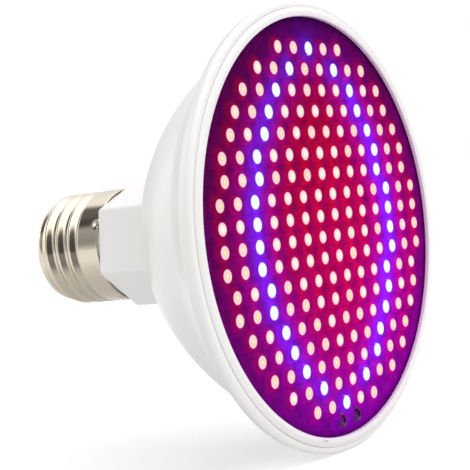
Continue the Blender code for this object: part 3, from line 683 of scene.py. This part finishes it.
def soldered_packages(name, places, spot_stops, middle_spot, spot_edge):
    """All packages of one colour on the board, lit with the shades of their spot."""
    shape = bmesh.new()
    for _ in places:
        shape.from_mesh(package_mesh)
    spot = shape.verts.layers.float_vector.new("spot")
    glow = shape.verts.layers.float_color.new("glow")
    count = len(package_mesh.vertices)
    batch = random.Random(len(places))
    warmth = [math.hypot(*led) / LED_FIELD_RADIUS + batch.uniform(-WARMTH_SPREAD, WARMTH_SPREAD)
              for led in places]
    for index, vert in enumerate(shape.verts):
        x, z = places[index // count]
        own = package_mesh.vertices[index % count].co
        vert[spot] = (own.x / MILLIMETRE, own.z / MILLIMETRE, warmth[index // count])
        vert.co = own + Vector((x, BOARD_FRONT, z))
        vert[glow] = light_at(vert.co.x, vert.co.z)
    finished, shader, place = finish(name, **LIT_SURFACE)
    spot_place = place.node("ShaderNodeAttribute", {"attribute_name": "spot"}, {}, "Vector")
    body_light = place.node("ShaderNodeAttribute", {"attribute_name": "glow"}, {}, "Color")
    reach = (spot_place.axis("X") ** 2 + spot_place.axis("Y") ** 2) ** 0.5
    ramp = reach.node("ShaderNodeValToRGB", {"stops": spot_stops}, {0: reach / SPOT_REACH})
    burnt = BURNT_SHARE * (1 - reach.step(BURNT_FROM, BURNT_TO))
    cool = 1 - spot_place.axis("Z").step(WARM_FROM, WARM_TO)
    lit_spot = (burnt * cool).mix(ramp, middle_spot)
    outside_spot = reach.step(spot_edge, spot_edge + SPOT_FADE)
    outside_spot.mix(lit_spot, body_light).feed(shader, "Emission Color")
    piece(name, shape, finished)


RED_SPOT = [(0.0, shade(250, 250, 184)), (0.14, shade(248, 242, 182)),
            (0.27, shade(244, 214, 178)), (0.37, shade(248, 212, 198)),
            (0.46, shade(255, 218, 226)), (0.60, shade(255, 213, 230)),
            (0.66, shade(246, 110, 140)), (0.70, shade(210, 6, 60))]
RED_MIDDLE = shade(240, 255, 236)
RED_EDGE = 1.29
BLUE_SPOT = [(0.0, shade(236, 250, 236)), (0.40, shade(250, 255, 255)),
             (0.67, shade(238, 248, 255)), (0.74, shade(170, 180, 255)),
             (0.79, shade(96, 56, 240))]
BLUE_MIDDLE = shade(244, 255, 248)
BLUE_EDGE = 1.385
soldered_packages("red_packages", red_places, RED_SPOT, RED_MIDDLE, RED_EDGE)
soldered_packages("blue_packages", blue_places, BLUE_SPOT, BLUE_MIDDLE, BLUE_EDGE)

# Solder joints: at the board's lower edge each lead from the driver comes up through
# a hole, and its tinned end bends over into a blob of solder on its pad.
PAD_OFFSETS = (-0.0020, 0.0040)
PAD_RADIUS = 0.0416
PAD_LENGTH = 0.0026
PAD_WIDTH = 0.0015
PAD_HEIGHT = 0.0002
PAD_ROUND = 0.00008
WIRE_HOLE_OFFSET = 0.0016
WIRE_END_RADIUS = 0.00028
WIRE_BEND = math.radians(170)
SOLDER_LENGTH = 0.00102
SOLDER_WIDTH = 0.00085
SOLDER_HEIGHT = 0.0005
SOLDER_WAVES = 1800
SOLDER_GLOSS_WAVES = 2400
SOLDER_RIPPLE_WAVES = 2600
SOLDER_RIPPLE = 0.00003
TINNED_WAVES = 1500
TINNED_GLOSS_WAVES = 2000

joints = bmesh.new()
wire_ends = bmesh.new()
for offset in PAD_OFFSETS:
    pad_z = -math.sqrt(PAD_RADIUS ** 2 - offset ** 2)
    pad_place = Matrix.Translation((offset, BOARD_FRONT - PAD_HEIGHT / 2, pad_z))
    pad = bmesh.ops.create_cube(joints, size=1, matrix=pad_place
                                @ Matrix.Diagonal((PAD_LENGTH, PAD_HEIGHT, PAD_WIDTH, 1)))
    pad_edges = {edge for vert in pad["verts"] for edge in vert.link_edges}
    bmesh.ops.bevel(joints, geom=list(pad_edges), offset=PAD_ROUND, offset_type="OFFSET",
                    segments=2, profile=0.5, affect="EDGES", material=-1)
    blob_place = Matrix.Translation((offset, BOARD_FRONT - PAD_HEIGHT, pad_z))
    bmesh.ops.create_uvsphere(joints, u_segments=24, v_segments=12, radius=1, matrix=blob_place
                              @ Matrix.Diagonal((SOLDER_LENGTH, SOLDER_HEIGHT, SOLDER_WIDTH, 1)))
    start_place = Matrix.Translation((offset, BOARD_FRONT, pad_z + WIRE_HOLE_OFFSET))
    wire = bmesh.ops.create_circle(wire_ends, cap_ends=True, segments=12, radius=WIRE_END_RADIUS,
                                   matrix=start_place @ Matrix.Rotation(math.radians(90), 4, "X"))
    wire_faces = {face for vert in wire["verts"] for face in vert.link_faces}
    bend_centre = (offset, BOARD_FRONT, pad_z + WIRE_HOLE_OFFSET / 2)
    bmesh.ops.spin(wire_ends, geom=list(wire_faces), cent=bend_centre, axis=(1, 0, 0),
                   angle=WIRE_BEND, steps=14, use_merge=False)
bmesh.ops.recalc_face_normals(wire_ends, faces=wire_ends.faces)
bmesh.ops.recalc_face_normals(joints, faces=joints.faces)
solder, solder_shader, place = finish("lit_solder", Metallic=0.5)
# Painted light: the solder's violet is the board's light on it, in two shades that wander.
solder_lit_tone = place.noise(SOLDER_WAVES, 3).mix(shade(112, 44, 132), shade(62, 12, 84))
solder_lit_tone.feed(solder_shader, "Base Color")
(0.30 + 0.25 * place.noise(SOLDER_GLOSS_WAVES, 2)).feed(solder_shader, "Roughness")
place.noise(SOLDER_RIPPLE_WAVES, 3).raise_surface(solder_shader, SOLDER_RIPPLE)
piece("solder_joints", joints, solder)
tinned, tinned_shader, place = finish("lit_tinned_copper", Metallic=1.0)
# Painted light: the wire ends' violet is the board's light on the tinned copper.
tinned_lit_tone = place.noise(TINNED_WAVES, 2).mix(shade(74, 34, 82), shade(42, 14, 50))
tinned_lit_tone.feed(tinned_shader, "Base Color")
(0.42 + 0.15 * place.noise(TINNED_GLOSS_WAVES, 2)).feed(tinned_shader, "Roughness")
piece("wire_ends", wire_ends, tinned)

# Driver: green laminate on edge in the neck with its parts soldered on both faces,
# and the leads to cap and light board. Nothing of it shows; it keeps its CAD shapes.
GLOSS_SPREAD = 0.12
RIPPLE_HEIGHT = 0.00002


def dressed(nodes, name, first, second, waves, roughness):
    """Give CAD nodes a finish that wanders between two shades."""
    made, shader, place = finish(name)
    place.noise(waves, 4).mix(first, second).feed(shader, "Base Color")
    (roughness + GLOSS_SPREAD * place.noise(2 * waves, 2)).feed(shader, "Roughness")
    place.noise(4 * waves, 3).raise_surface(shader, RIPPLE_HEIGHT)
    for node in nodes:
        for place_in_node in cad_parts[node].material_slots:
            place_in_node.material = made


dressed(["driver_board"], "green_laminate",
        shade(28, 104, 58), shade(20, 84, 46), 900, 0.35)
dressed(["smoothing_capacitor"], "shrunk_sleeve",
        shade(22, 28, 74), shade(16, 20, 56), 400, 0.25)
dressed(["film_capacitor"], "yellow_potting",
        shade(214, 170, 44), shade(196, 150, 34), 500, 0.35)
dressed(["varistor", "fusible_resistor"], "blue_lacquer",
        shade(52, 118, 176), shade(40, 98, 154), 600, 0.3)
dressed(["choke"], "wound_ferrite",
        shade(58, 50, 46), shade(40, 34, 32), 800, 0.45)
dressed(["bridge_rectifier", "driver_chip", "output_diode", "sense_resistor", "bleed_resistor"],
        "moulding_compound", shade(42, 42, 44), shade(30, 30, 32), 1500, 0.5)
dressed(["live_wire", "led_wire_positive"], "red_sleeve",
        shade(186, 30, 28), shade(164, 22, 22), 600, 0.4)
dressed(["neutral_wire", "led_wire_negative"], "black_sleeve",
        shade(34, 34, 36), shade(24, 24, 26), 600, 0.4)

# Floor: plain white card that the lamp lies on with its rim. Its glow is painted light,
# brightest in front of the face; it throws less light back than the camera sees, and the
# nickel mirrors it darker yet, with a painted shadow under the cap.
FLOOR_SIZE = 6
FLOOR_DROP = 0.0001
CARD_WAVES = 8
BEHIND_LAMP = (-0.04, 0.05)
BEFORE_LAMP = (-0.085, -0.055)
CAP_SHADOW_RADII = (0.01, 0.16)
CAP_PLACE = -0.01
LENS_FRONT = (-0.06, 0.01)
LENS_LEFT = (-0.12, -0.03)
BOUNCE_LOST = 0.12
BOUNCE_LOST_BEHIND = 0.36
BOUNCE_LOST_BEFORE = 0.30
CAP_SHADOW_MIRRORED = 0.36
MIRROR_LOST_LENS = 0.85
CARD_GLOW = 0.4
GLOW_BEFORE = (1, 1, 1, 1)
GLOW_BEHIND = (0.35, 0.35, 0.35, 1)
GLOW_DIMMED = (0.007, 0.007, 0.007, 1)

floor_mesh = bpy.data.meshes.new("floor")
floor_shape = bmesh.new()
floor_place = Matrix.Translation((0, 0, -RIM_RADIUS - FLOOR_DROP))
bmesh.ops.create_grid(floor_shape, x_segments=8, y_segments=8, size=FLOOR_SIZE, matrix=floor_place)
floor_shape.to_mesh(floor_mesh)
floor_shape.free()
floor = bpy.data.objects.new("floor", floor_mesh)
bpy.context.scene.collection.objects.link(floor)
card, card_shader, place = finish("white_card", Roughness=0.8, Emission_Strength=CARD_GLOW)
diffused = place.node("ShaderNodeLightPath", {}, {}, "Is Diffuse Ray")
mirrored = place.node("ShaderNodeLightPath", {}, {}, "Is Glossy Ray")
across = place.axis("X")
along = place.axis("Y")
behind = along.step(*BEHIND_LAMP)
before = 1 - along.step(*BEFORE_LAMP)
# Painted shadow under the cap, seen only in the nickel's reflections.
cap_shadow = 1 - ((across ** 2 + (along - CAP_PLACE) ** 2) ** 0.5).step(*CAP_SHADOW_RADII)
# A painted dark patch beside the lens, seen only in the nickel's reflections.
lens_side_dark = (1 - along.step(*LENS_FRONT)) * (1 - across.step(*LENS_LEFT))
# Painted shade: the card bounces less light than it shows, most behind the lamp and before the
# face.
bounce_lost = BOUNCE_LOST + BOUNCE_LOST_BEHIND * behind + BOUNCE_LOST_BEFORE * before
mirror_lost = CAP_SHADOW_MIRRORED * cap_shadow + MIRROR_LOST_LENS * lens_side_dark
dimmed = diffused * bounce_lost + mirrored * mirror_lost
white_paper = place.noise(CARD_WAVES, 3).mix(shade(246, 246, 246), shade(243, 243, 243))
dimmed.mix(white_paper, shade(40, 36, 34)).feed(card_shader, "Base Color")
# Painted light: the card glows fully in front of the face and about a third as much elsewhere.
dimmed.mix(before.mix(GLOW_BEHIND, GLOW_BEFORE), GLOW_DIMMED).feed(card_shader, "Emission Color")
floor_mesh.materials.append(card)

# Room: a white tent, brighter overhead and in front of the face. What the polished
# nickel mirrors is a tent with a dark wall round the lens, a dark doorway behind the
# cap and two soft lamps.
TENT_LIGHT = 0.49
TOP_LIGHT = 0.78
HORIZON = -0.1
MIRRORED_TENT = 0.68
MIRRORED_TOP = 0.72
# Each direction comes with the degrees to its edge, those of its full part, and its share.
WHITE_SIDES = {
    "front light": ((0.0, -0.95, 0.30), 75, 25, 0.45),
    "back shade": ((-0.20, 0.97, -0.10), 75, 35, -0.40),
    "side light": ((-0.95, -0.10, 0.05), 60, 25, 0.10),
}
DARK_WALLS = {
    "lens wall": ((-0.76, -0.58, 0.20), 38, 20, -0.90),
    "doorway": ((-0.25, 0.66, 0.71), 23, 13, -0.88),
    "doorway side": ((-0.64, 0.62, 0.44), 26, 16, -0.54),
}
SOFT_LAMPS = {
    "high lamp": ((-0.20, -0.20, 0.96), 52, 34, 0.40),
    "back lamp": ((-0.17, 0.98, 0.10), 32, 20, 1.10),
}

room = bpy.data.worlds.new("room")
room.use_nodes = True
bpy.context.scene.world = room
tree = room.node_tree
background = tree.nodes["Background"]
towards = Maths(tree, tree.nodes.new("ShaderNodeTexCoord").outputs["Generated"])
seen = towards.node("ShaderNodeLightPath", {}, {}, "Is Camera Ray")
mirrored = towards.node("ShaderNodeLightPath", {}, {}, "Is Glossy Ray")


def facing(direction, edge, inside):
    """1 within so many degrees of a direction, and 0 past the edge."""
    pair = {0: towards, 1: Vector(direction).normalized()}
    near = towards.node("ShaderNodeVectorMath", {"operation": "DOT_PRODUCT"}, pair, "Value")
    return near.step(math.cos(math.radians(edge)), math.cos(math.radians(inside)))


overhead = towards.axis("Z").step(HORIZON, 1)
tent = TENT_LIGHT + TOP_LIGHT * overhead
for direction, edge, inside, share in WHITE_SIDES.values():
    tent = tent * (1 + share * facing(direction, edge, inside))
mirror = MIRRORED_TENT + MIRRORED_TOP * overhead
for direction, edge, inside, share in DARK_WALLS.values():
    mirror = mirror * (1 + share * facing(direction, edge, inside))
lamps = 1
for direction, edge, inside, share in SOFT_LAMPS.values():
    lamps = lamps + share * facing(direction, edge, inside)
mirror = mirror * lamps
light = mirrored.node("ShaderNodeMix", {"data_type": "FLOAT"}, {0: mirrored, 2: tent, 3: mirror}, 0)
light = seen.node("ShaderNodeMix", {"data_type": "FLOAT"}, {0: seen, 2: light, 3: 1.0}, 0)
light.feed(background, "Strength")
background.inputs["Color"].default_value = (1, 1, 1, 1)
